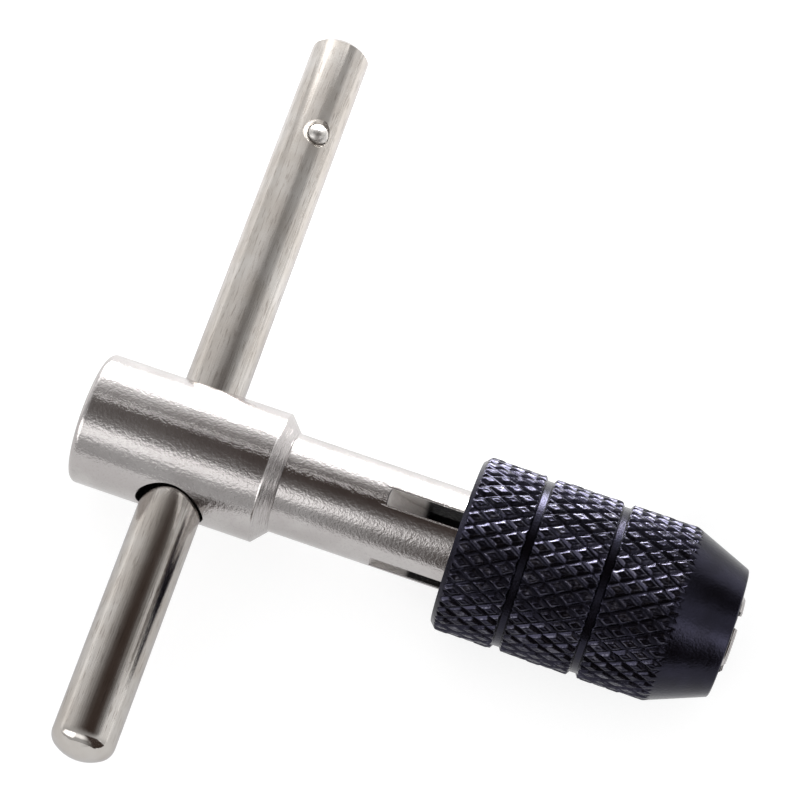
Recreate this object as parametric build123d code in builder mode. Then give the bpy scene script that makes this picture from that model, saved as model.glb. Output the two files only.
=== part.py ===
from math import cos, radians, sin, sqrt, tan
import os

from build123d import *

# T-handle tap wrench, in millimetres. The tool axis is X, with the mouth of the chuck at x = 0 and the
# head at negative x. The cross hole for the sliding bar runs along Y, and +Z is up as the wrench lies on
# a bench.

# One-piece turned body
body_length = 85.3
mouth_to_bar = 71.7
head_diameter = 17.0
bar_to_step = 10.7
step_length = 1.8
shank_diameter = 13.0
back_edge_radius = 0.9
step_edge_radius = 0.25
thread_start = 34.5
thread_diameter = 12.0
thread_end = 13.0
pilot_diameter = 10.0
mouth_chamfer = 0.35

# Bore for the tap and the four sawn slots that guide the jaws
socket_diameter = 7.4
socket_depth = 10.0
bore_diameter = 7.0
bore_depth = 43.0
drill_point_angle = 118.0
slot_count = 4
slot_width = 2.3
slot_runout_start = 45.9
saw_radius = 12.5
slot_floor_radius = 2.95

# Sliding bar with its two stop balls. It lies tilted by bar_lean degrees in its loose hole.
bar_diameter = 8.0
bar_length = 106.8
bar_offset = 10.6
bar_dome_height = 1.8
bar_edge_radius = 2.0
bar_play = 0.45
bar_lean = 1.7
cross_hole_chamfer = 0.2
stop_ball_diameter = 3.0
stop_ball_projection = 0.8
stop_ball_clearance = 0.02
stop_ball_from_end = 16.4
stop_roll = 22.0
stop_sink_diameter = 4.2
stop_sink_angle = 120.0

# Knurled nut
nut_diameter = 23.0
nut_setback = 0.7
nose_length = 7.8
nose_end_diameter = 16.6
nose_edge_radius = 0.4
band_lengths = (7.9, 8.45, 8.15)
groove_width = 1.6
groove_depth = 0.6
groove_side_angle = 55.0
nut_rear_chamfer = 0.9
nut_rear_bore_depth = 8.8
nut_rear_clearance = 0.25
nut_thread_clearance = 0.06
nut_mouth_clearance = 0.35
nut_mouth_land = 0.4
cone_half_angle = 20.0
cone_length = 9.6
cavity_edge_chamfer = 0.8

# Loose jaws and the springs that spread them
jaw_side_clearance = 0.05
jaw_cone_clearance = 0.3
jaw_open_radius = 3.8
jaw_setback = 0.5
jaw_lead_chamfer = 0.5
jaw_tail_end = 19.0
jaw_tail_clearance = 0.25
jaw_corner_radius = 0.4
nib_length = 0.8
nib_height = 0.5
nib_stations = (11.6, 14.8)
spring_thickness = 0.3
spring_side_clearance = 0.3
spring_play = 0.08
spring_leg = 8.0

# Places that follow from the sizes above
head_radius = head_diameter / 2
shank_radius = shank_diameter / 2
thread_radius = thread_diameter / 2
pilot_radius = pilot_diameter / 2
socket_radius = socket_diameter / 2
bore_radius = bore_diameter / 2
bar_radius = bar_diameter / 2
nut_radius = nut_diameter / 2
nose_radius = nose_end_diameter / 2
ball_radius = stop_ball_diameter / 2
bar_x = -mouth_to_bar
step_x = bar_x + bar_to_step
groove_count = len(band_lengths) - 1
nut_front_x = -nut_setback
knurl_front_x = nut_front_x - nose_length
nut_rear_x = knurl_front_x - sum(band_lengths) - groove_count * groove_width
cone_slope = tan(radians(cone_half_angle))
nut_mouth_radius = pilot_radius + nut_mouth_clearance
cone_front_x = nut_front_x - nut_mouth_land
cone_rear_x = cone_front_x - cone_length
cavity_radius = nut_mouth_radius + cone_length * cone_slope


def corner_at(outline, x, radius):
    """The corner of a sketched outline that lies at this axial place and radius."""
    return outline.vertices().sort_by_distance((x, radius, 0))[0]


def slot_plane(angle):
    """The plane through the tool axis that holds the slot at this angle round it, from +Y towards +Z."""
    outward = Vector(0, cos(radians(angle)), sin(radians(angle)))
    return Plane(origin=(0, 0, 0), x_dir=(1, 0, 0), z_dir=Vector(1, 0, 0).cross(outward))


slot_angles = [360 / slot_count * step for step in range(slot_count)]

# Body: head, conical step, shank, thread seat and pilot in one turning
with BuildPart() as wrench_body:
    with BuildSketch(Plane.XY):
        with BuildLine():
            Polyline(
                (-body_length, 0),
                (-body_length, head_radius),
                (step_x, head_radius),
                (step_x + step_length, shank_radius),
                (-thread_start, shank_radius),
                (-thread_start, thread_radius),
                (-thread_end, thread_radius),
                (-thread_end + thread_radius - pilot_radius, pilot_radius),
                (-mouth_chamfer, pilot_radius),
                (0, pilot_radius - mouth_chamfer),
                (0, 0),
                close=True,
            )
        outline = make_face()
        fillet(corner_at(outline, -body_length, head_radius), back_edge_radius)
        fillet(corner_at(outline, step_x, head_radius), step_edge_radius)
        fillet(corner_at(outline, step_x + step_length, shank_radius), step_edge_radius)
    revolve(axis=Axis.X)

    # Socket for the tap's shank, and the smaller bore behind it with the drill's point at its end
    with BuildSketch(Plane.XY):
        with BuildLine():
            Polyline(
                (0, 0),
                (0, socket_radius),
                (-socket_depth, socket_radius),
                (-socket_depth, bore_radius),
                (-bore_depth, bore_radius),
                (-bore_depth - bore_radius / tan(radians(drill_point_angle / 2)), 0),
                close=True,
            )
        make_face()
    revolve(axis=Axis.X, mode=Mode.SUBTRACT)

    # Four slots, each run out by the round of the slitting saw
    saw_depth = shank_radius - slot_floor_radius
    saw_x = -slot_runout_start + sqrt(saw_radius**2 - (saw_radius - saw_depth) ** 2)
    for angle in slot_angles:
        with BuildSketch(slot_plane(angle)):
            with Locations((saw_x, slot_floor_radius + saw_radius)):
                Circle(saw_radius)
            with Locations((saw_x, slot_floor_radius)):
                Rectangle(-saw_x + 1, 2 * saw_radius, align=(Align.MIN, Align.MIN))
        extrude(amount=slot_width / 2, both=True, mode=Mode.SUBTRACT)

    # Cross hole for the bar, with a small break at both mouths
    with BuildSketch(Plane.XZ):
        with Locations((bar_x, 0)):
            Circle(bar_radius + bar_play)
    extrude(amount=head_diameter, both=True, mode=Mode.SUBTRACT)
    chamfer(wrench_body.edges(Select.LAST).filter_by(GeomType.LINE, reverse=True), cross_hole_chamfer)

# Sliding bar, turned with shallow domed ends, drilled and countersunk for its stop balls. It and the balls
# are built along Y through the origin, and bar_place puts them in the head.
bar_place = Location((bar_x, 0, 0), (0, 0, bar_lean))
bar_high_y = bar_offset + bar_length / 2
bar_low_y = bar_offset - bar_length / 2
ball_height = bar_radius + stop_ball_projection - ball_radius
upper_ball_y = bar_high_y - stop_ball_from_end
lower_ball_y = bar_low_y + stop_ball_from_end


def stop_plane(y, side):
    """The plane square to a stop ball's seat, with its origin on the bar's axis."""
    roll = radians(stop_roll)
    return Plane(origin=(0, y, 0), x_dir=(0, 1, 0), z_dir=(side * sin(roll), 0, side * cos(roll)))


with BuildPart() as sliding_bar:
    low_rim_y = bar_low_y + bar_dome_height
    high_rim_y = bar_high_y - bar_dome_height
    with BuildSketch(Plane.XY):
        with BuildLine():
            Line((0, bar_high_y), (0, bar_low_y))
            TangentArc((0, bar_low_y), (bar_radius, low_rim_y), tangent=(1, 0))
            Line((bar_radius, low_rim_y), (bar_radius, high_rim_y))
            TangentArc((0, bar_high_y), (bar_radius, high_rim_y), tangent=(1, 0))
        outline = make_face()
        fillet(corner_at(outline, bar_radius, low_rim_y), bar_edge_radius)
        fillet(corner_at(outline, bar_radius, high_rim_y), bar_edge_radius)
    revolve(axis=Axis.Y)
    seat_radius = ball_radius + stop_ball_clearance
    sink_depth = (stop_sink_diameter / 2 - seat_radius) / tan(radians(stop_sink_angle / 2))
    for y, side in ((upper_ball_y, 1), (lower_ball_y, -1)):
        with BuildSketch(stop_plane(y, side).offset(ball_height - ball_radius)):
            Circle(seat_radius)
        extrude(amount=stop_ball_diameter, mode=Mode.SUBTRACT)
        with BuildSketch(stop_plane(y, side).offset(bar_radius - sink_depth)):
            Circle(seat_radius)
        extrude(amount=2 * sink_depth, taper=-stop_sink_angle / 2, mode=Mode.SUBTRACT)


def stop_ball(y, side):
    """A steel ball in its seat, standing out of the bar."""
    with BuildPart() as ball:
        with Locations(stop_plane(y, side).offset(ball_height).location):
            Sphere(ball_radius)
    return ball


stop_ball_upper = stop_ball(upper_ball_y, 1)
stop_ball_lower = stop_ball(lower_ball_y, -1)

# Nut: three bands for the knurl, two grooves and the conical nose, bored for shank, thread and jaws
with BuildPart() as clamping_nut:
    groove_run = groove_depth / tan(radians(groove_side_angle))
    rim = [(nut_rear_x + nut_rear_chamfer, nut_radius)]
    for step in range(groove_count):
        groove_x = nut_rear_x + sum(band_lengths[: step + 1]) + step * groove_width
        rim += [
            (groove_x, nut_radius),
            (groove_x + groove_run, nut_radius - groove_depth),
            (groove_x + groove_width - groove_run, nut_radius - groove_depth),
            (groove_x + groove_width, nut_radius),
        ]
    with BuildSketch(Plane.XY):
        with BuildLine():
            Polyline(
                (nut_rear_x, shank_radius + nut_rear_clearance),
                (nut_rear_x, nut_radius - nut_rear_chamfer),
                *rim,
                (knurl_front_x, nut_radius),
                (nut_front_x, nose_radius),
                (nut_front_x, nut_mouth_radius),
                (cone_front_x, nut_mouth_radius),
                (cone_rear_x, cavity_radius),
                (cone_rear_x - cavity_edge_chamfer, cavity_radius - cavity_edge_chamfer),
                (cone_rear_x - cavity_edge_chamfer, thread_radius + nut_thread_clearance),
                (nut_rear_x + nut_rear_bore_depth, thread_radius + nut_thread_clearance),
                (nut_rear_x + nut_rear_bore_depth, shank_radius + nut_rear_clearance),
                close=True,
            )
        outline = make_face()
        fillet(corner_at(outline, nut_front_x, nose_radius), nose_edge_radius)
    revolve(axis=Axis.X)


def jaw(angle, station):
    """A hardened plate that slides in the slot at this angle: grip, back that rides the nut's cone, tail."""
    cone_gap = jaw_cone_clearance / cos(radians(cone_half_angle))
    back_front_radius = nut_mouth_radius - cone_gap
    back_rear_x = cone_rear_x + jaw_cone_clearance
    back_rear_radius = nut_mouth_radius + (cone_front_x - back_rear_x) * cone_slope - cone_gap
    tail_radius = thread_radius - jaw_tail_clearance
    with BuildPart() as plate:
        with BuildSketch(slot_plane(angle)):
            with BuildLine():
                Polyline(
                    (-jaw_setback, jaw_open_radius + jaw_lead_chamfer),
                    (-jaw_setback, back_front_radius),
                    (cone_front_x, back_front_radius),
                    (back_rear_x, back_rear_radius),
                    (back_rear_x, tail_radius),
                    (-jaw_tail_end, tail_radius),
                    (-jaw_tail_end, jaw_open_radius),
                    (-jaw_setback - jaw_lead_chamfer, jaw_open_radius),
                    close=True,
                )
            outline = make_face()
            fillet(corner_at(outline, -jaw_tail_end, tail_radius), jaw_corner_radius)
            fillet(corner_at(outline, -jaw_tail_end, jaw_open_radius), jaw_corner_radius)
            with Locations((-station, jaw_open_radius)):
                Rectangle(nib_length, 2 * nib_height)
        extrude(amount=slot_width / 2 - jaw_side_clearance, both=True)
    return plate


def jaw_spring(angle, station):
    """A strip bent to a U whose legs push two opposite jaws apart, with the legs' ends behind the nibs."""
    leg_end_x = -station - nib_length / 2 - spring_play
    bend_x = leg_end_x - spring_leg
    outer_radius = jaw_open_radius - spring_play
    with BuildPart() as strip:
        with BuildSketch(slot_plane(angle)):
            for radius, mode in ((outer_radius, Mode.ADD), (outer_radius - spring_thickness, Mode.SUBTRACT)):
                with Locations((bend_x, 0)):
                    Circle(radius, mode=mode)
                    Rectangle(spring_leg, 2 * radius, align=(Align.MIN, Align.CENTER), mode=mode)
        extrude(amount=slot_width / 2 - spring_side_clearance, both=True)
    return strip


jaw_left = jaw(slot_angles[0], nib_stations[0])
jaw_upper = jaw(slot_angles[1], nib_stations[1])
jaw_right = jaw(slot_angles[2], nib_stations[0])
jaw_lower = jaw(slot_angles[3], nib_stations[1])
jaw_spring_level = jaw_spring(slot_angles[0], nib_stations[0])
jaw_spring_upright = jaw_spring(slot_angles[1], nib_stations[1])

nodes = {
    "wrench_body": wrench_body.part,
    "sliding_bar": bar_place * sliding_bar.part,
    "stop_ball_upper": bar_place * stop_ball_upper.part,
    "stop_ball_lower": bar_place * stop_ball_lower.part,
    "clamping_nut": clamping_nut.part,
    "jaw_left": jaw_left.part,
    "jaw_upper": jaw_upper.part,
    "jaw_right": jaw_right.part,
    "jaw_lower": jaw_lower.part,
    "jaw_spring_level": jaw_spring_level.part,
    "jaw_spring_upright": jaw_spring_upright.part,
}

os.makedirs("parts", exist_ok=True)
for name, solid in nodes.items():
    solid.label = name
    export_step(solid, f"parts/{name}.step")
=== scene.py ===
"""Looks of a small T-handle tap wrench: finishes for its steel pieces, a knurled nut and the stage.

Lengths are metres. The tool axis is X with the nut's nose toward +X, the sliding bar runs along Y, and +Z is
up as the wrench lies.
"""
import math

import bpy
import numpy as np
from bpy.props import FloatProperty, FloatVectorProperty, IntProperty, PointerProperty
from mathutils import Matrix, Vector


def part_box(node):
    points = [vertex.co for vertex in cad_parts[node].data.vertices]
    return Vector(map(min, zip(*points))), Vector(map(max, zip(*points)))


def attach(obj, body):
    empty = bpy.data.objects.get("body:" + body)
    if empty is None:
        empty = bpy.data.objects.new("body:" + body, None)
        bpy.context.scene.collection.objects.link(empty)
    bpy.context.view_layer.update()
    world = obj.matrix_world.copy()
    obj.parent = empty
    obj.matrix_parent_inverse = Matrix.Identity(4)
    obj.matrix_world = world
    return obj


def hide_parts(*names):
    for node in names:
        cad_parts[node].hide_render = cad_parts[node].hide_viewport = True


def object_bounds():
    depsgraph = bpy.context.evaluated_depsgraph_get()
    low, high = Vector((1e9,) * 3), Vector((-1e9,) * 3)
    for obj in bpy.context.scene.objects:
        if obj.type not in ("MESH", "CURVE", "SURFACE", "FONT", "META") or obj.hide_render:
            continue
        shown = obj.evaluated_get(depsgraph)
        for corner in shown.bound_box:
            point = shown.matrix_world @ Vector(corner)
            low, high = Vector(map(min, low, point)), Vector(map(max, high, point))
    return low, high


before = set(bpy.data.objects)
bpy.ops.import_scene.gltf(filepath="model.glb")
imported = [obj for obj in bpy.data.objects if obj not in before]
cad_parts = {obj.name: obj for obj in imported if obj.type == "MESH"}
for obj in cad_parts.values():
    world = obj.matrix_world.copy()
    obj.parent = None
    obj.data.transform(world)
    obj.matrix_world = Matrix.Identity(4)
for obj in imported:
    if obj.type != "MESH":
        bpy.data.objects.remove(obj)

bl_info = {
    "name": "T-handle tap wrench",
    "version": (1, 0, 0),
    "blender": (4, 5, 0),
    "location": "View3D > Sidebar > Tap wrench",
    "description": "Builds the finishes, the knurled nut and the stage of a T-handle tap wrench",
    "category": "Object",
}

CAD_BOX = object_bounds()
MM = 0.001
WHITE = (1.0, 1.0, 1.0)

# Where the solids lie. The bar leans a little in its hole, which its axis crosses at HOLE_X.
NUT_LOW, NUT_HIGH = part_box("clamping_nut")
BAR_LOW, BAR_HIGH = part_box("sliding_bar")
BAR_MIDDLE = (BAR_LOW + BAR_HIGH) / 2
BAR_LEAN = math.radians(1.7)
BAR_ALONG = (-math.sin(BAR_LEAN), math.cos(BAR_LEAN), 0.0)
BAR_ACROSS = (math.cos(BAR_LEAN), math.sin(BAR_LEAN), 0.0)
BAR_SIDE_END = (51.5 * MM, 50 * MM)
STOP_SEATS = [sum(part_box(ball), Vector()) / 2 for ball in ("stop_ball_upper", "stop_ball_lower")]
SEAT_EDGE = (2.2 * MM, 2.0 * MM)
HOLE_X = BAR_MIDDLE.x + BAR_MIDDLE.y * math.tan(BAR_LEAN)

# Edges of the body's regions, each a pair from where its mask is 0 to where it is 1. Starts and ends are
# along X, the others are distances from the axis of the shank, the pilot, the cross hole or a slot.
SHANK_START = (-60 * MM, -59 * MM)
UNDER_SHANK = (6.42 * MM, 6.34 * MM)
PILOT_START = (-36 * MM, -35 * MM)
PILOT_END = (-0.1 * MM, -0.3 * MM)
UNDER_PILOT = (4.9 * MM, 4.84 * MM)
THREAD_START = (-35 * MM, -34.6 * MM)
RUN_OUT_END = (-40.6 * MM, -41.4 * MM)
HOLE_EDGE = (4.5 * MM, 4.44 * MM)
STEP_START = (-61.2 * MM, -60.9 * MM)
STEP_END = (-59.1 * MM, -59.4 * MM)
BURR_START = (-47.0 * MM, -45.5 * MM)
BURR_END = (-36 * MM, -36.5 * MM)
BESIDE_SLOT = (1.42 * MM, 1.15 * MM)

# Knurl: the shape of its grooves and of the diamonds' tops, as shares of its pitch and depth
GROOVE_POWER = 1.25
DENT_REACH = 0.2
LEAN_SHARE = 0.6
DROP_SHARE = 0.4
CHANCE_SEED = 11
CHANCE_ROWS = 64
COLUMNS_PER_TOOTH = 16
RIM_CUT = 0.40
RIM_SPREAD = 0.16

# Nut: what its outline has besides its settings
GROOVE_FLANK = math.radians(55.0)
KNURL_ON_NOSE = 1.2 * MM
MOUTH_LAND = 0.4 * MM
CONE_LENGTH = 9.6 * MM
CONE_ANGLE = math.radians(20.0)
CONE_BEVEL = 0.8 * MM
REAR_BORE_DEPTH = 8.8 * MM
FACE_STEP = 1.5 * MM
BORE_STEP = 6 * MM
SHARP_EDGE = math.radians(38.0)

# Stage: the floor's size, how much of its glow a mirror shows, and the camera fitted to the photo
FLOOR_REACH = 3.0
GLOW_IN_MIRROR = 0.7
CAMERA_PLACE = (-0.02113, -0.13875, 0.32257)
CAMERA_FORWARD = (-0.07856, 0.43136, -0.89876)
CAMERA_RIGHT = (0.94478, 0.31994, 0.07097)


# Shader expressions

class Term:
    """A shader value in a Python expression. Each operation adds the Math node that works it out."""

    def __init__(self, graph, socket):
        self.graph = graph
        self.socket = socket

    def math(self, operation, *values):
        return self.graph.node("ShaderNodeMath", {"operation": operation}, dict(enumerate(values)))

    def __add__(self, other):
        return self.math("ADD", self, other)

    def __radd__(self, other):
        return self.math("ADD", other, self)

    def __sub__(self, other):
        return self.math("SUBTRACT", self, other)

    def __rsub__(self, other):
        return self.math("SUBTRACT", other, self)

    def __mul__(self, other):
        return self.math("MULTIPLY", self, other)

    def __rmul__(self, other):
        return self.math("MULTIPLY", other, self)

    def __truediv__(self, other):
        return self.math("DIVIDE", self, other)

    def __pow__(self, other):
        return self.math("POWER", self, other)

    def __abs__(self):
        return self.math("ABSOLUTE", self)

    def larger(self, other):
        return self.math("MAXIMUM", self, other)

    def smaller(self, other):
        return self.math("MINIMUM", self, other)

    def step(self, low, high):
        """Rises smoothly from 0 at low to 1 at high, or falls where low is the larger."""
        if low > high:
            return 1 - self.step(high, low)
        return self.graph.node(
            "ShaderNodeMapRange",
            {"interpolation_type": "SMOOTHSTEP"},
            {"Value": self, "From Min": low, "From Max": high},
        )

    def between(self, low, low_full, high_full, high):
        """1 from low_full to high_full, fading to 0 at low and at high."""
        return self.step(low, low_full) * self.step(high, high_full)


class Graph:
    """Adds nodes to one node tree."""

    def __init__(self, tree):
        self.tree = tree
        tree.nodes.clear()

    def node(self, kind, settings=None, inputs=None, output=0):
        """A node of this type, with its settings set first and then its inputs, values or terms."""
        made = self.tree.nodes.new(kind)
        for name, value in (settings or {}).items():
            setattr(made, name, value)
        for name, value in (inputs or {}).items():
            if isinstance(value, Term):
                self.tree.links.new(value.socket, made.inputs[name])
            elif made.inputs[name].type == "RGBA":
                made.inputs[name].default_value = (*value, 1.0)
            else:
                made.inputs[name].default_value = value
        return Term(self, made.outputs[output]) if len(made.outputs) else None

    def place(self):
        """Object coordinates."""
        return self.node("ShaderNodeTexCoord", output="Object")

    def axes(self, vector):
        """The three numbers of a vector."""
        return [self.node("ShaderNodeSeparateXYZ", None, {"Vector": vector}, axis) for axis in "XYZ"]

    def vector(self, x, y, z):
        return self.node("ShaderNodeCombineXYZ", None, {"X": x, "Y": y, "Z": z})

    def vector_math(self, operation, first, second, output):
        inputs = {0: first, 1: second}
        return self.node("ShaderNodeVectorMath", {"operation": operation}, inputs, output)

    def length(self, first, second):
        """Distance of a point from an axis, given its two places square to the axis."""
        return (first * first + second * second) ** 0.5

    def angle(self, rise, run):
        """Angle in radians whose tangent is rise over run, all the way round."""
        return rise.math("ARCTAN2", rise, run)

    def noise(self, vector, scale, detail, roughness):
        """Smooth noise about 0.5 whose lumps are about 1/scale across."""
        inputs = {"Vector": vector, "Scale": scale, "Detail": detail, "Roughness": roughness}
        return self.node("ShaderNodeTexNoise", None, inputs)

    def mix(self, factor, first, second):
        """A colour between two colours."""
        inputs = {"Factor": factor, 6: first, 7: second}
        return self.node("ShaderNodeMix", {"data_type": "RGBA"}, inputs, 2)

    def bump(self, height, distance, strength=1.0):
        inputs = {"Height": height, "Distance": distance, "Strength": strength}
        return self.node("ShaderNodeBump", None, inputs)

    def glow(self, colour, strength):
        return self.node("ShaderNodeEmission", None, {"Color": colour, "Strength": strength})

    def pane(self, cover, glow):
        """A glow where cover is 1 that rays pass untouched where it is 0."""
        open_air = self.node("ShaderNodeBsdfTransparent", None, {"Color": WHITE})
        return self.node("ShaderNodeMixShader", None, {0: cover, 1: open_air, 2: glow})


def surface(name, build):
    """A material whose shader the build function makes in a graph."""
    material = bpy.data.materials.new(name)
    material.use_nodes = True
    graph = Graph(material.node_tree)
    graph.node("ShaderNodeOutputMaterial", None, {"Surface": build(graph)})
    return material


def metal(name, build):
    """A material whose build function gives the Principled shader's inputs from a graph."""
    return surface(name, lambda graph: graph.node("ShaderNodeBsdfPrincipled", None, build(graph)))


# Finishes

def satin_nickel(colours):
    """Satin nickel over a turned surface, with sawn slots, and bores darkened with painted shade.

    Shallow dimples, a fine grain, small darker pits and clouds of a duller tone break up the reflections. The
    conical step keeps its turning lines, and the steel rises in a burr along the slots' edges. Under the
    shank's own surface the steel is sawn and bright in the slots' run-outs; elsewhere there, and in the bores
    and the cross hole, it is near-black, partly darker unplated steel and partly painted shade.
    """

    def build(g):
        place = g.place()
        x, y, z = g.axes(place)
        dimples = g.noise(place, 2500.0, 2.0, 0.62)
        grain = g.noise(place, 6400.0, 2.0, 0.6)
        cloud = g.noise(place, 210.0, 3.0, 0.6)
        pits = g.noise(place, 3400.0, 1.0, 0.6).step(0.54, 0.7)
        lines = g.noise(g.vector(x * 9000.0, 0.0, 0.0), 1.0, 3.0, 0.7)
        turned = g.noise(g.vector(x * 4200.0, y * 90.0, z * 90.0), 1.0, 3.0, 0.7)

        from_axis = g.length(y, z)
        in_shank = x.step(*SHANK_START) * from_axis.step(*UNDER_SHANK)
        in_pilot = x.step(*PILOT_START) * from_axis.step(*UNDER_PILOT) * x.step(*PILOT_END)
        sawn = in_shank * (1 - x.step(*THREAD_START)) + in_pilot
        run_out = in_shank * x.step(*RUN_OUT_END)
        in_hole = g.length(x - HOLE_X, z).step(*HOLE_EDGE)
        # Painted shade: the slot walls below the surface, the bores and the cross hole are made near-black
        # and barely metallic.
        dark = (sawn * (1 - run_out)).larger(in_hole)
        on_step = x.step(*STEP_START) * x.step(*STEP_END)
        burr = abs(y).smaller(abs(z)).step(*BESIDE_SLOT) * x.step(*BURR_START) * x.step(*BURR_END)

        plated = g.mix(cloud.step(0.3, 0.75), colours.nickel_shade, colours.nickel)
        plated = g.mix(pits * 0.2, plated, colours.nickel_pit)
        inside_and_painted_shade = g.mix(run_out, colours.bore, colours.sawn)
        height = dimples * (1.0 - on_step) + grain * 0.2 + lines * 0.12 + turned * on_step * 5.0
        height = height - burr * 1.3 + sawn * dimples * 3.5
        return {
            "Base Color": g.mix(sawn.larger(in_hole), plated, inside_and_painted_shade),
            "Metallic": 1.0 - dark * 0.7 - run_out * 0.55,
            "Roughness": 0.07 + cloud * 0.07 + grain * 0.05 + sawn * 0.3 + on_step * 0.1,
            "Normal": g.bump(height, 0.038 * MM),
        }

    return metal("satin_nickel", build)


def polished_nickel(colours):
    """Polished bar stock, marked by the place along the bar and the angle round its axis.

    Fine draw lines and short darker flecks run along its side, hazy stretches lie between brighter ones, and
    the countersinks round the stop balls are dull. The domed ends have neither lines nor flecks.
    """

    def build(g):
        place = g.place()
        middle = g.vector_math("SUBTRACT", place, BAR_MIDDLE, 0)
        along = g.vector_math("DOT_PRODUCT", middle, BAR_ALONG, "Value")
        across = g.vector_math("DOT_PRODUCT", middle, BAR_ACROSS, "Value")
        around = g.angle(g.axes(place)[2], across)
        on_side = abs(along).step(*BAR_SIDE_END)
        in_seat = 0.0
        for seat in STOP_SEATS:
            in_seat = g.vector_math("DISTANCE", place, seat, "Value").step(*SEAT_EDGE) + in_seat

        lines = g.noise(g.vector(around * 26.0, along * 16.0, 0.0), 1.0, 4.0, 0.65) * on_side
        haze = g.noise(place, 150.0, 3.0, 0.6)
        flecks = g.noise(g.vector(around * 15.0, along * 330.0, 7.0), 1.0, 3.0, 0.65)
        flecks = flecks.step(0.52, 0.68) * on_side
        grain = g.noise(place, 4200.0, 2.0, 0.6)
        worn = g.mix(haze.step(0.3, 0.7), colours.bar_shade, colours.bar)
        return {
            "Base Color": g.mix(flecks * 0.7, worn, colours.bar_fleck),
            "Metallic": 1.0,
            "Specular Tint": (0.79, 0.79, 0.81),
            "Roughness": 0.045 + haze * 0.06 + lines * 0.04 + flecks * 0.05 + in_seat * 0.24,
            "Normal": g.bump(lines + flecks * 0.12 + grain * 0.34, 0.012 * MM),
        }

    return metal("polished_nickel", build)


def ball_steel(colours):
    """A hardened ball with a trace of handling marks."""

    def build(g):
        marks = g.noise(g.place(), 2600.0, 3.0, 0.6)
        return {
            "Base Color": g.mix(marks.step(0.3, 0.8), colours.bar, colours.ball),
            "Metallic": 1.0,
            "Roughness": 0.30 + marks * 0.16,
            "Normal": g.bump(marks, 0.006 * MM, 0.8),
        }

    return metal("ball_steel", build)


def black_oxide(colours):
    """Oiled black oxide: a dark mirror with a violet cast in patches and a fine tooth.

    Patches of the knurl's rims, which the mesh marks in its rim attribute, are paler: partly edge wear,
    partly a painted highlight standing in for the glints of rounded rims.
    """

    def build(g):
        place = g.place()
        cloud = g.noise(place, 260.0, 3.0, 0.6)
        tooth = g.noise(place, 3600.0, 3.0, 0.6)
        rim = g.node("ShaderNodeAttribute", {"attribute_name": "rim"}, output="Fac")
        # Paler rims: edge wear together with a painted highlight for the glints the rims catch.
        wear = g.noise(place, 1500.0, 3.0, 0.65).step(0.42, 0.62) * rim
        oxide = g.mix(cloud.step(0.3, 0.75), colours.oxide, colours.oxide_sheen)
        return {
            "Base Color": g.mix(wear * 0.55, oxide, colours.oxide_wear_and_glint),
            "Metallic": 1.0,
            "Roughness": 0.13 + cloud * 0.1 + tooth * 0.07,
            "Normal": g.bump(tooth + cloud * 1.5, 0.030 * MM),
        }

    return metal("black_oxide", build)


def jaw_steel(colours):
    """Dark hardened steel with grinding lines along the jaw."""

    def build(g):
        place = g.place()
        x, y, z = g.axes(place)
        lines = g.noise(g.vector(x * 120.0, y * 5200.0, z * 5200.0), 1.0, 3.0, 0.6)
        cloud = g.noise(place, 420.0, 3.0, 0.6)
        return {
            "Base Color": g.mix(cloud.step(0.3, 0.75), colours.jaw, colours.jaw_shade),
            "Metallic": 1.0,
            "Roughness": 0.28 + lines * 0.18,
            "Normal": g.bump(lines, 0.004 * MM, 0.8),
        }

    return metal("jaw_steel", build)


def spring_steel(colours):
    """Strip steel with rolling lines along its length."""

    def build(g):
        x, y, z = g.axes(g.place())
        lines = g.noise(g.vector(x * 200.0, y * 3800.0, z * 3800.0), 1.0, 2.0, 0.6)
        return {
            "Base Color": g.mix(lines.step(0.3, 0.7), colours.spring, colours.jaw_shade),
            "Metallic": 1.0,
            "Roughness": 0.22 + lines * 0.14,
            "Normal": g.bump(lines, 0.002 * MM, 0.7),
        }

    return metal("spring_steel", build)


def dress(material, *nodes):
    """Put a material on every slot of these solids."""
    for name in nodes:
        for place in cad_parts[name].material_slots:
            place.material = material


# The knurled nut

def groove_fall(distance, half_width):
    """How deep a rolled groove is at a distance from its line: 1 on the line, easing to 0 at half_width."""
    t = np.clip(distance / half_width, 0.0, 1.0)
    return (1.0 - t) ** GROOVE_POWER * (1.0 + (GROOVE_POWER - 1.0) * t)


def knurl_cut(turns, along, sizes):
    """Share of the knurl's depth that is cut away at each point, from 0 on a diamond's top to 1 in a groove.

    turns counts teeth round the nut and along counts the same pitch along X. Two families of grooves run
    where turns + along and turns - along are whole numbers. Each diamond's top keeps a shallow dent, and
    leans and sits a little differently from its neighbours.
    """
    plus = turns + along
    minus = turns - along
    from_plus = np.abs(plus - np.round(plus))
    from_minus = np.abs(minus - np.round(minus))
    cut = np.maximum(
        groove_fall(from_plus, sizes.groove_share),
        groove_fall(from_minus, sizes.groove_share),
    )
    from_middle = 0.5 - np.minimum(from_plus, from_minus)
    dent = sizes.dent_share * np.clip(1.0 - from_middle / DENT_REACH, 0.0, 1.0) ** 2
    i, j = np.floor(plus).astype(int), np.floor(minus).astype(int)
    chance_columns = 2 * sizes.teeth
    chance = np.random.default_rng(CHANCE_SEED).uniform(-1.0, 1.0, (3, CHANCE_ROWS, chance_columns))
    lean_plus, lean_minus, drop = chance[:, (i - j) % CHANCE_ROWS, (i + j) % chance_columns]
    lean = lean_plus * (plus - i - 0.5) + lean_minus * (minus - j - 0.5)
    top = dent + sizes.unevenness * (0.5 + LEAN_SHARE * lean + DROP_SHARE * drop)
    return np.maximum(cut, np.clip(top, 0.0, 1.0))


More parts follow.
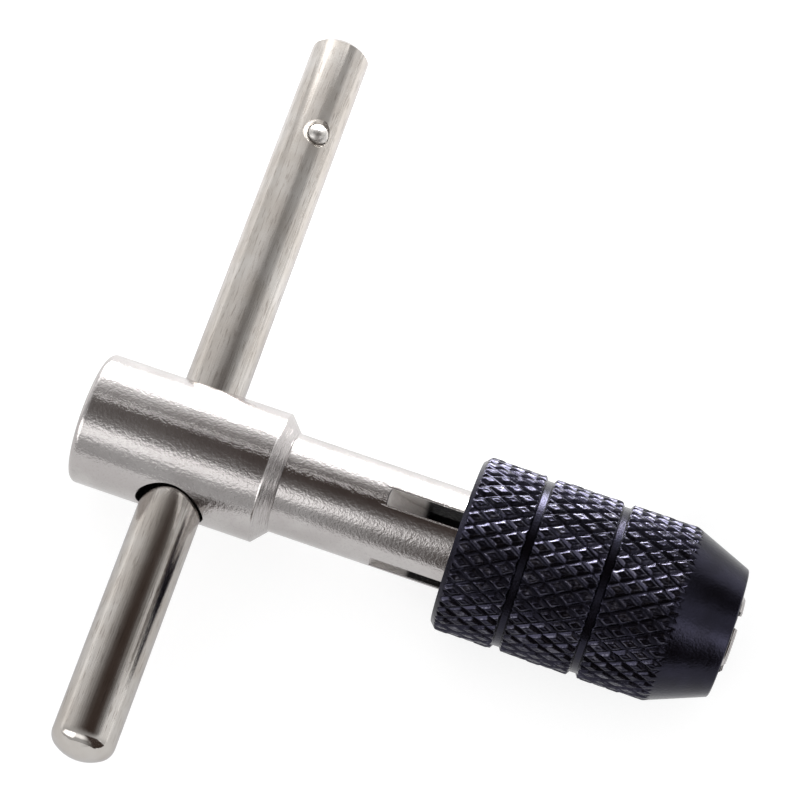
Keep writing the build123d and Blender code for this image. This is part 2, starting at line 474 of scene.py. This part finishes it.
def stations(points, step):
    """Extra stations along straight stretches of an outline, so that none is longer than step."""
    out = [points[0]]
    for (xa, ra), (xb, rb) in zip(points[:-1], points[1:]):
        count = max(1, math.ceil(math.hypot(xb - xa, rb - ra) / step))
        for k in range(1, count + 1):
            out.append((xa + (xb - xa) * k / count, ra + (rb - ra) * k / count))
    return out


def rounded(corner, before, after, radius, count=5):
    """Points of a small round that replaces an outline's corner, tangent to the stretches beside it."""
    corner, before, after = (Vector((p[0], p[1], 0.0)) for p in (corner, before, after))
    u, v = (before - corner).normalized(), (after - corner).normalized()
    half = u.angle(v) / 2
    reach = radius / math.tan(half)
    centre = corner + (u + v).normalized() * radius / math.sin(half)
    start, end = corner + u * reach, corner + v * reach
    points = []
    for k in range(count + 1):
        p = start.lerp(end, k / count) - centre
        p = centre + p.normalized() * radius
        points.append((p.x, p.y))
    return points


def nut_outline(sizes, crest, row_length):
    """Stations of the nut's closed outline, as places along X and radii.

    It runs from the rear rim over the knurled bands, the two plain grooves and the nose to the front face,
    and back through the mouth, the cone, the threaded bore and the rear bore. Rows over the knurl are at
    most row_length apart.
    """
    rear, front = NUT_LOW.x, NUT_HIGH.x
    knurled = [(rear, crest - sizes.rear_bevel), (rear + sizes.rear_bevel, crest)]
    bottom = crest - sizes.groove_depth
    flank = sizes.groove_depth / math.tan(GROOVE_FLANK)
    x = rear
    for band in (sizes.rear_band, sizes.middle_band):
        start = x + band
        x = start + sizes.groove_width
        knurled += [(start, crest), (start + flank, bottom), (x - flank, bottom), (x, crest)]
    nose = Vector((front, sizes.nose_radius))
    shoulder = Vector((front - sizes.nose_length, crest))
    knurl_end = shoulder + (nose - shoulder).normalized() * KNURL_ON_NOSE
    knurled += [tuple(shoulder), tuple(knurl_end)]
    mouth_edge = (front, sizes.mouth_radius)
    face = [tuple(knurl_end)] + rounded(nose, knurl_end, mouth_edge, sizes.nose_round) + [mouth_edge]
    cone_front = front - MOUTH_LAND
    cone_rear = cone_front - CONE_LENGTH
    cone_radius = sizes.mouth_radius + CONE_LENGTH * math.tan(CONE_ANGLE)
    inside = [
        (cone_front, sizes.mouth_radius),
        (cone_rear, cone_radius),
        (cone_rear - CONE_BEVEL, cone_radius - CONE_BEVEL),
        (cone_rear - CONE_BEVEL, sizes.thread_bore),
        (rear + REAR_BORE_DEPTH, sizes.thread_bore),
        (rear + REAR_BORE_DEPTH, sizes.shank_bore),
        (rear, sizes.shank_bore),
    ]
    outline = stations(knurled, row_length) + stations(face, FACE_STEP)[1:] + stations(inside, BORE_STEP)
    return np.array(outline)


def knurled_nut(sizes):
    """Mesh of the nut: its closed outline turned about X, with the knurl cut into it.

    The radius of a point is the smaller of the outline's and the crest less the knurl's cut, so the grooves
    run out by themselves on the nose cone, the bevel and the flanks of the two plain grooves. The point
    attribute rim is 1 where the knurl's cut is RIM_CUT of its depth and falls evenly to 0 at RIM_SPREAD more
    or less, which marks the diamonds' edges. It is 0 where the outline's radius is the smaller.
    """
    crest = NUT_HIGH.z - sizes.crest_wear
    pitch = 2 * math.pi * crest / sizes.teeth
    lead = pitch / math.tan(sizes.helix)
    outline = nut_outline(sizes, crest, lead / COLUMNS_PER_TOOTH)
    columns = sizes.teeth * COLUMNS_PER_TOOTH
    turns = np.arange(columns) / COLUMNS_PER_TOOTH
    along = outline[:, 0] / lead
    cut = knurl_cut(turns[None, :], along[:, None], sizes)
    radius = np.minimum(outline[:, 1:], crest - sizes.knurl_depth * cut)
    angle = turns * 2 * math.pi / sizes.teeth
    x = np.repeat(outline[:, :1], columns, axis=1)
    points = np.stack([x, radius * np.cos(angle), radius * np.sin(angle)], axis=-1)
    rim = np.clip(1.0 - np.abs(cut - RIM_CUT) / RIM_SPREAD, 0.0, 1.0) * (radius < outline[:, 1:])
    nut = closed_grid("nut_knurled", points, turns, along)
    nut.data.attributes.new("rim", "FLOAT", "POINT").data.foreach_set("value", rim.ravel())
    return nut


def closed_grid(name, points, turns, along):
    """A mesh of a grid of points that closes on itself both ways.

    Each cell is split into two triangles along the diagonal that the nearer family of grooves follows.
    """
    rows, columns = points.shape[:2]
    row, column = np.arange(rows)[:, None], np.arange(columns)[None, :]
    next_row, next_column = (row + 1) % rows, (column + 1) % columns
    a = row * columns + column
    b = row * columns + next_column
    c = next_row * columns + next_column
    d = next_row * columns + column
    mid_turn = turns[None, :] + (turns[1] - turns[0]) / 2
    mid_along = (along[:, None] + np.roll(along, -1)[:, None]) / 2
    plus = mid_turn + mid_along
    minus = mid_turn - mid_along
    near_plus = (np.abs(plus - np.round(plus)) < np.abs(minus - np.round(minus)))[..., None]
    first = np.where(near_plus, np.stack([a, b, d], -1), np.stack([a, b, c], -1))
    second = np.where(near_plus, np.stack([b, c, d], -1), np.stack([a, c, d], -1))
    triangles = np.concatenate([first.reshape(-1, 3), second.reshape(-1, 3)])
    mesh = bpy.data.meshes.new(name)
    mesh.from_pydata(points.reshape(-1, 3), [], triangles[:, ::-1].tolist())
    mesh.shade_smooth()
    mesh.set_sharp_from_angle(angle=SHARP_EDGE)
    piece = bpy.data.objects.new(name, mesh)
    bpy.context.scene.collection.objects.link(piece)
    return piece


# The stage

def level_sheet(low, high, height):
    """Corners of a level rectangle, from its low corner to its high corner in X and Y."""
    return [
        (low[0], low[1], height),
        (high[0], low[1], height),
        (high[0], high[1], height),
        (low[0], high[1], height),
    ]


def facing_x(x, across, up):
    """Corners of an upright rectangle square to X, given its reach along Y and up."""
    return [(x, across[0], up[0]), (x, across[1], up[0]), (x, across[1], up[1]), (x, across[0], up[1])]


def facing_y(y, along, up):
    """Corners of an upright rectangle square to Y, given its reach along X and up."""
    return [(along[0], y, up[0]), (along[1], y, up[0]), (along[1], y, up[1]), (along[0], y, up[1])]


def stage_sheet(name, corners, build):
    """A flat rectangle of the stage, with the shader that the build function makes in a graph."""
    mesh = bpy.data.meshes.new(name)
    mesh.from_pydata(corners, [], [(0, 1, 2, 3)])
    sheet = bpy.data.objects.new(name, mesh)
    bpy.context.scene.collection.objects.link(sheet)
    sheet.data.materials.append(surface(name, build))
    return sheet


def seen_straight(graph):
    """1 for rays that show a surface to the camera straight or through glass, a little less in a mirror."""
    path = graph.tree.nodes.new("ShaderNodeLightPath")
    camera, glossy, through = (
        Term(graph, path.outputs[name])
        for name in ("Is Camera Ray", "Is Glossy Ray", "Is Transmission Ray")
    )
    return camera.larger(glossy * GLOW_IN_MIRROR).larger(through)


def lay_floor(stage):
    """A pale floor under the nut, whose white is raised where it is seen.

    On the window's side it is raised more, a painted pool of the window's light, though less so behind the
    head and not beside the nut's nose.
    """

    def build(g):
        x, y, _ = g.axes(g.place())
        beyond_axis = y.step(-5 * MM, 50 * MM)
        ahead_of_back = x.step(-112 * MM, -90 * MM)
        beside_nose = x.between(-22 * MM, -8 * MM, 60 * MM, 100 * MM)
        # Painted pool of the window's light on the floor, which reflections show.
        window = beyond_axis * (0.4 + 0.6 * ahead_of_back) * (1 - beside_nose)
        glow = stage.floor_glow + stage.window_glow * window
        diffuse = g.node("ShaderNodeBsdfDiffuse", None, {"Color": tuple(stage.floor)})
        white = g.glow(WHITE, seen_straight(g) * glow)
        return g.node("ShaderNodeAddShader", None, {0: diffuse, 1: white})

    low, high = (-FLOOR_REACH, -FLOOR_REACH), (FLOOR_REACH, FLOOR_REACH)
    stage_sheet("floor", level_sheet(low, high, CAD_BOX[0][2]), build)


def hang_cards(stage):
    """Things near the wrench that only its reflections show: dark cards, a bright window and a thin strip.

    One dark card hangs over the shank like the opening of a light tent, one stands on the near side of the
    nut and a small one beyond its nose. The window stands beyond the body, and the strip runs along the
    body's top. All but the strip fade out at their edges.
    """
    middle, half = (-30 * MM, 4 * MM), (112 * MM, 68 * MM)
    clear, full = 2.1, 0.25

    def dark(g, cover):
        return g.pane(cover, g.glow(tuple(stage.card), 1.0))

    def overhead(g):
        """An ellipse about middle that is full within a share of half and clear beyond a multiple of it."""
        x, y, _ = g.axes(g.place())
        narrowing = 1 + 0.45 * x.step(-30 * MM, 10 * MM)
        from_middle = g.length((x - middle[0]) * narrowing / half[0], (y - middle[1]) / half[1])
        return dark(g, from_middle.step(clear, full))

    def near_side(g):
        x, _, z = g.axes(g.place())
        return dark(g, x.between(-75 * MM, -25 * MM, 110 * MM, 170 * MM) * z.step(190 * MM, 120 * MM))

    def beyond_nose(g):
        _, y, z = g.axes(g.place())
        across = y.between(5 * MM, 11 * MM, 34 * MM, 42 * MM)
        return dark(g, across * z.between(21 * MM, 27 * MM, 42 * MM, 52 * MM))

    def window(g):
        x, _, z = g.axes(g.place())
        cover = x.between(-230 * MM, -190 * MM, -20 * MM, -8 * MM) * z.step(160 * MM, 90 * MM)
        bright = x.between(-170 * MM, -150 * MM, -30 * MM, -14 * MM)
        bright = bright * z.between(8 * MM, 22 * MM, 70 * MM, 92 * MM)
        return g.pane(cover, g.glow(WHITE, stage.window_light + stage.softbox_light * bright))

    def strip(g):
        return g.glow(WHITE, stage.strip_light)

    low = [centre - clear * reach for centre, reach in zip(middle, half)]
    high = [centre + clear * reach for centre, reach in zip(middle, half)]
    cards = (
        ("overhead_card", level_sheet(low, high, 125 * MM), overhead),
        ("near_card", facing_y(-110 * MM, (-80 * MM, 175 * MM), (-11 * MM, 195 * MM)), near_side),
        ("nose_card", facing_x(30 * MM, (5 * MM, 42 * MM), (21 * MM, 52 * MM)), beyond_nose),
        ("softbox", facing_y(150 * MM, (-230 * MM, -8 * MM), (-11 * MM, 160 * MM)), window),
        ("strip", level_sheet((-90 * MM, 5.7 * MM), (-36 * MM, 7.1 * MM), 33 * MM), strip),
    )
    for name, corners, build in cards:
        card = stage_sheet(name, corners, build)
        card.visible_camera = False
        card.visible_diffuse = False
        card.visible_shadow = False


def light_room(scene):
    """A soft studio, white to the camera. Directions are measured by x and by the angle from up toward +Y.

    Pale walls brighten toward +Y. A faint window stands on that side with a dark gap in its middle, and two
    lamps hang on the near side, one along the middle and one toward the wrench's ends. A patch up over the
    nose is shaded, and behind the head the wall is brighter low down and darker higher up.
    """
    world = bpy.data.worlds.new("studio")
    scene.world = world
    world.use_nodes = True
    g = Graph(world.node_tree)
    x, y, z = g.axes(g.node("ShaderNodeTexCoord", output="Generated"))
    tilt = g.angle(y, z) * math.degrees(1.0)
    sideways = abs(x)

    level_side = x.step(-0.75, -0.9) * z.between(-0.05, 0.0, 0.1, 0.25)
    high_side = x.step(-0.45, -0.7) * z.step(0.1, 0.25)
    walls = (0.5 + 0.44 * y.step(-0.6, 0.4)) * (1 + 0.3 * level_side) * (1 - 0.14 * high_side)
    window = 0.35 * tilt.step(34.0, 58.0) * sideways.step(0.85, 0.5)
    gap = tilt.step(40.0, 58.0) * sideways.step(0.36, 0.2)
    lamp = 0.95 * tilt.between(-66.0, -51.0, -42.0, -26.0) * sideways.step(0.9, 0.5)
    end_lamp = 2.0 * tilt.between(-80.0, -68.0, -40.0, -28.0) * sideways.between(0.33, 0.45, 0.84, 0.95)
    shade = (x * 0.5 + y * 0.43 + z * 0.752).step(0.87, 0.96)
    light = (walls + window + lamp + end_lamp) * (1 - 0.5 * shade) * (1 - 0.75 * gap)

    path = g.tree.nodes.new("ShaderNodeLightPath")
    camera = Term(g, path.outputs["Is Camera Ray"])
    strength = light * (1 - camera) + camera
    background = g.node("ShaderNodeBackground", None, {"Color": WHITE, "Strength": strength})
    g.node("ShaderNodeOutputWorld", None, {"Surface": background})


def set_camera(scene, stage):
    """The photo's camera: it looks steeply down on the lying wrench, from the side of the bar's lower end."""
    data = bpy.data.cameras.new("camera")
    data.lens = stage.lens
    data.sensor_width = 36.0
    data.clip_start = 0.01
    data.clip_end = 50.0
    camera = bpy.data.objects.new("camera", data)
    scene.collection.objects.link(camera)
    forward = Vector(CAMERA_FORWARD).normalized()
    right = Vector(CAMERA_RIGHT)
    right = (right - forward * right.dot(forward)).normalized()
    up = right.cross(forward)
    turn = Matrix((right, up, -forward)).transposed()
    camera.matrix_world = Matrix.Translation(CAMERA_PLACE) @ turn.to_4x4()
    scene.camera = camera
    scene.view_settings.view_transform = "Standard"


# Settings

def colour(name, description, default):
    return FloatVectorProperty(name=name, description=description, subtype="COLOR", size=3, min=0.0, max=1.0,
                               default=default)


def length(name, description, default):
    return FloatProperty(name=name, description=description, default=default, unit="LENGTH", precision=5)


def share(name, description, default, low=0.0, high=1.0):
    return FloatProperty(name=name, description=description, default=default, min=low, max=high)


def level(name, description, default):
    return FloatProperty(name=name, description=description, default=default, min=0.0)


class FinishColours(bpy.types.PropertyGroup):
    nickel: colour("Nickel", "Satin nickel of the body", (0.60, 0.575, 0.566))
    nickel_shade: colour("Nickel, duller", "Clouded patches of the satin nickel", (0.52, 0.492, 0.484))
    nickel_pit: colour("Nickel, pits", "Small darker pits of the satin nickel", (0.36, 0.338, 0.334))
    bar: colour("Bar", "Polished nickel of the sliding bar", (0.615, 0.586, 0.556))
    bar_shade: colour("Bar, duller", "Hazy stretches of the bar", (0.53, 0.489, 0.448))
    bar_fleck: colour("Bar, flecks", "Short darker flecks along the bar", (0.33, 0.295, 0.265))
    ball: colour("Ball", "Darker handling marks on the stop balls", (0.34, 0.335, 0.33))
    oxide: colour("Oxide", "Black oxide of the nut", (0.022, 0.021, 0.031))
    oxide_sheen: colour("Oxide, violet", "Patches with a violet cast", (0.031, 0.030, 0.047))
    # Paler rims of the diamonds: partly edge wear, partly a painted highlight.
    oxide_wear_and_glint: colour("Oxide, worn", "Worn rims of the diamonds", (0.22, 0.215, 0.265))
    sawn: colour("Sawn steel", "Run-out of the sawn slots", (0.52, 0.49, 0.47))
    # Partly darker unplated steel, partly painted shade: the near-black of the bores, the cross hole and the
    # slots' walls.
    bore: colour("Bore", "Dark steel in the bores", (0.018, 0.017, 0.017))
    jaw: colour("Jaw", "Hardened steel of the jaws", (0.24, 0.23, 0.22))
    jaw_shade: colour("Jaw, darker", "Oil-dark patches of the jaws", (0.13, 0.12, 0.12))
    spring: colour("Spring", "Strip steel of the springs", (0.34, 0.33, 0.34))


class NutSizes(bpy.types.PropertyGroup):
    teeth: IntProperty(name="Teeth", description="Diamonds round the nut", default=36, min=12, max=90)
    helix: FloatProperty(name="Helix", description="Angle of the knurl's grooves from the nut's axis",
                         subtype="ANGLE", default=math.radians(30.0))
    crest_wear: length("Crest wear", "How much lower the knurl's tops lie than the solid nut", 0.06 * MM)
    knurl_depth: length("Knurl depth", "Depth of the knurl's grooves", 0.39 * MM)
    groove_share: share("Groove share", "Half a groove's width as a share of a pitch", 0.36, 0.05, 0.5)
    dent_share: share("Dent", "Dent in a diamond's top as a share of the knurl's depth", 0.2)
    unevenness: share("Unevenness", "How unevenly the diamonds' tops sit and lean", 0.42)
    rear_band: length("Rear band", "Length of the rear knurled band with its bevel", 7.9 * MM)
    middle_band: length("Middle band", "Length of the middle knurled band", 8.45 * MM)
    groove_width: length("Groove width", "Width of the plain grooves", 1.6 * MM)
    groove_depth: length("Groove depth", "Depth of the plain grooves", 0.6 * MM)
    rear_bevel: length("Rear bevel", "Bevel at the nut's rear rim", 0.9 * MM)
    nose_length: length("Nose length", "Length of the nose cone", 7.8 * MM)
    nose_radius: length("Nose radius", "Radius of the nose cone at its front", 8.3 * MM)
    nose_round: length("Nose round", "Round at the front rim", 0.4 * MM)
    mouth_radius: length("Mouth radius", "Radius of the nut's mouth", 5.35 * MM)
    thread_bore: length("Thread bore", "Radius of the threaded bore", 6.06 * MM)
    shank_bore: length("Shank bore", "Radius of the rear bore", 6.75 * MM)


class StageSettings(bpy.types.PropertyGroup):
    floor: colour("Floor", "Colour of the floor", (0.36, 0.36, 0.36))
    floor_glow: level("Floor glow", "White that the floor shows on top of its own", 0.74)
    # Painted pool of the window's light on the floor.
    window_glow: level("Window glow", "Extra white of the floor on the window's side", 0.9)
    card: colour("Cards", "Light of the dark cards", (0.056, 0.041, 0.035))
    window_light: level("Window", "Light of the window beyond the body", 2.7)
    softbox_light: level("Softbox", "Light that the window's middle adds", 25.0)
    strip_light: level("Strip", "Light of the thin strip over the body", 1.8)
    lens: FloatProperty(name="Lens", description="Focal length of the camera", subtype="DISTANCE_CAMERA",
                        default=126.0)


# Operators

class FinishBody(bpy.types.Operator):
    """Give the body its satin nickel"""
    bl_idname = "tapwrench.finish_body"
    bl_label = "Finish body"

    def execute(self, context):
        dress(satin_nickel(context.scene.tapwrench_colours), "wrench_body")
        return {"FINISHED"}


class FinishBar(bpy.types.Operator):
    """Give the sliding bar its polish and the stop balls their steel"""
    bl_idname = "tapwrench.finish_bar"
    bl_label = "Finish bar and stop balls"

    def execute(self, context):
        dress(polished_nickel(context.scene.tapwrench_colours), "sliding_bar")
        dress(ball_steel(context.scene.tapwrench_colours), "stop_ball_upper", "stop_ball_lower")
        return {"FINISHED"}


class BuildNut(bpy.types.Operator):
    """Build the knurled nut in black oxide in place of its plain solid"""
    bl_idname = "tapwrench.build_nut"
    bl_label = "Build knurled nut"

    def execute(self, context):
        nut = knurled_nut(context.scene.tapwrench_nut)
        nut.data.materials.append(black_oxide(context.scene.tapwrench_colours))
        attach(nut, "nut")
        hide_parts("clamping_nut")
        return {"FINISHED"}


class FinishJaws(bpy.types.Operator):
    """Give the four jaws and their two springs their steels"""
    bl_idname = "tapwrench.finish_jaws"
    bl_label = "Finish jaws and springs"

    def execute(self, context):
        colours = context.scene.tapwrench_colours
        dress(jaw_steel(colours), "jaw_left", "jaw_upper", "jaw_right", "jaw_lower")
        dress(spring_steel(colours), "jaw_spring_level", "jaw_spring_upright")
        return {"FINISHED"}


class BuildStage(bpy.types.Operator):
    """Lay the pale floor, hang the cards, light the room softly and set the camera"""
    bl_idname = "tapwrench.build_stage"
    bl_label = "Build stage"

    def execute(self, context):
        lay_floor(context.scene.tapwrench_stage)
        hang_cards(context.scene.tapwrench_stage)
        light_room(context.scene)
        set_camera(context.scene, context.scene.tapwrench_stage)
        return {"FINISHED"}


class TapWrenchPanel(bpy.types.Panel):
    """Buttons and settings of the tap wrench"""
    bl_idname = "VIEW3D_PT_tapwrench"
    bl_label = "Tap wrench"
    bl_space_type = "VIEW_3D"
    bl_region_type = "UI"
    bl_category = "Tap wrench"

    def draw(self, context):
        for operator in OPERATORS:
            self.layout.operator(operator.bl_idname)
        for name, group in SETTINGS.items():
            for setting in group.__annotations__:
                self.layout.prop(getattr(context.scene, name), setting)


OPERATORS = (FinishBody, FinishBar, BuildNut, FinishJaws, BuildStage)
SETTINGS = {
    "tapwrench_colours": FinishColours,
    "tapwrench_nut": NutSizes,
    "tapwrench_stage": StageSettings,
}


def register():
    for group in (*SETTINGS.values(), *OPERATORS, TapWrenchPanel):
        bpy.utils.register_class(group)
    for name, group in SETTINGS.items():
        setattr(bpy.types.Scene, name, PointerProperty(type=group))


def unregister():
    for name in SETTINGS:
        delattr(bpy.types.Scene, name)
    for group in (TapWrenchPanel, *reversed(OPERATORS), *reversed(SETTINGS.values())):
        bpy.utils.unregister_class(group)


def main():
    register()
    for operator in OPERATORS:
        area, name = operator.bl_idname.split(".")
        getattr(getattr(bpy.ops, area), name)()


if __name__ == "__main__":
    main()
